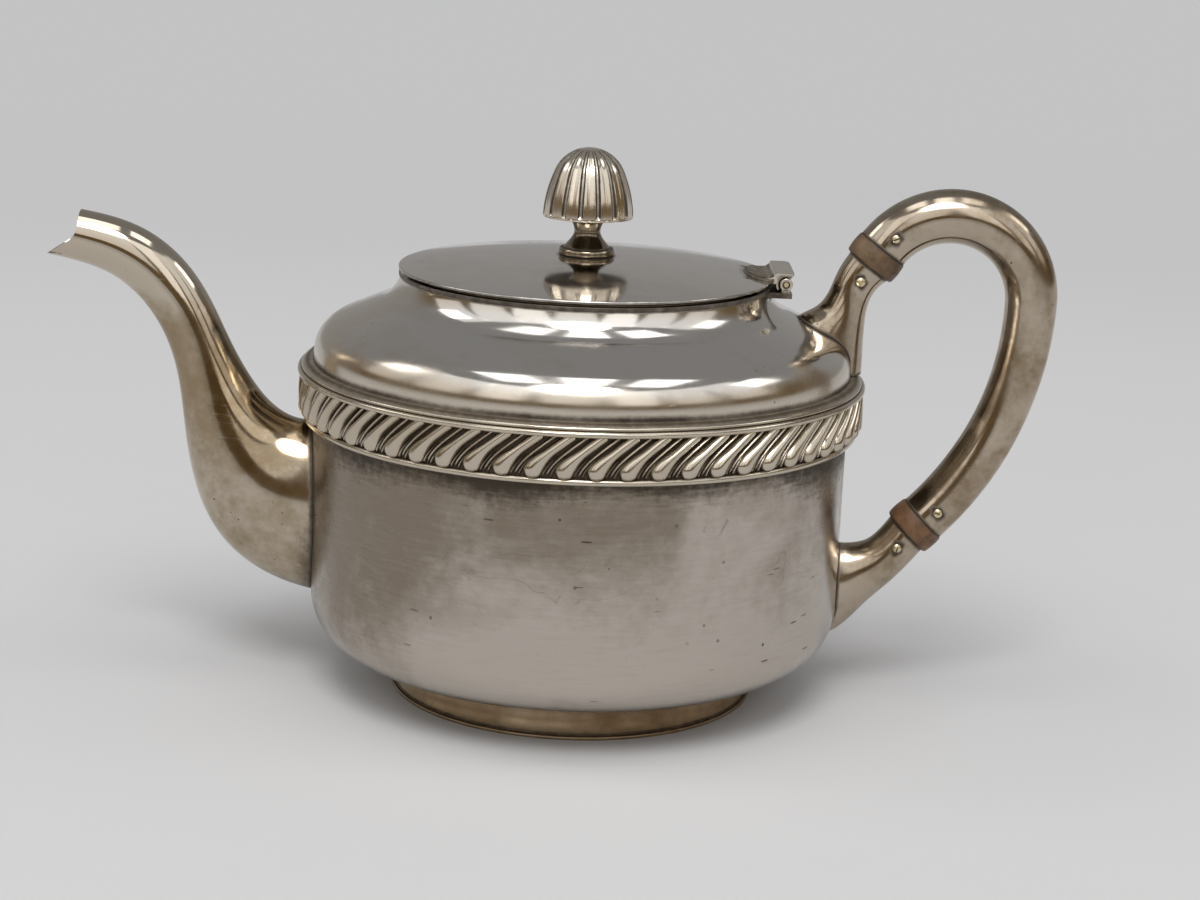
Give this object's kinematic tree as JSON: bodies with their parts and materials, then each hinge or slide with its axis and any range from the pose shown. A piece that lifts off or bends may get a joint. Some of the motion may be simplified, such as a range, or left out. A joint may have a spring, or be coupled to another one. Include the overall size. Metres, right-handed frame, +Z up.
{
  "type": "silver teapot",
  "caption": "Round drum-shaped silver teapot with a swan-neck spout, hinged flat lid with fluted finial, slanted-lobe border and an insulated loop handle.",
  "frame": {"origin": "on the table, at the centre of the foot ring", "axes": "+Z up, spout towards -X, handle towards +X"},
  "size_m": [0.2698, 0.152, 0.1472],
  "materials": {
    "silver": "worn polished silver plate, tarnished in the recesses",
    "fibre": "dull dark brown insulating fibre",
    "brass": "dulled"
  },
  "bodies": {
    "pot": {"body_bowl": "silver", "shoulder": "silver", "gadroon_border": "silver", "foot_ring": "silver", "spout": "silver", "mouth_ring": "silver", "upper_handle_socket": "silver", "lower_handle_socket": "silver", "handle_grip": "silver", "upper_insulator": "fibre", "lower_insulator": "fibre", "upper_grip_pin": "brass", "upper_socket_pin": "brass", "lower_grip_pin": "brass", "lower_socket_pin": "brass", "hinge_bracket": "silver", "hinge_pin": "brass"},
    "lid": {"lid_plate": "silver", "lid_bezel": "silver", "hinge_leaf": "silver", "finial_stem": "silver", "finial_dome": "silver", "finial_stud": "brass", "finial_washer": "brass", "finial_nut": "brass"}
  },
  "joints": [
    {"name": "lid_hinge", "type": "hinge", "parent": "pot", "child": "lid", "pos_m": [0.05271, 0, 0.1144], "axis": [0, 1, 0], "range_deg": [0, 95]}
  ]
}
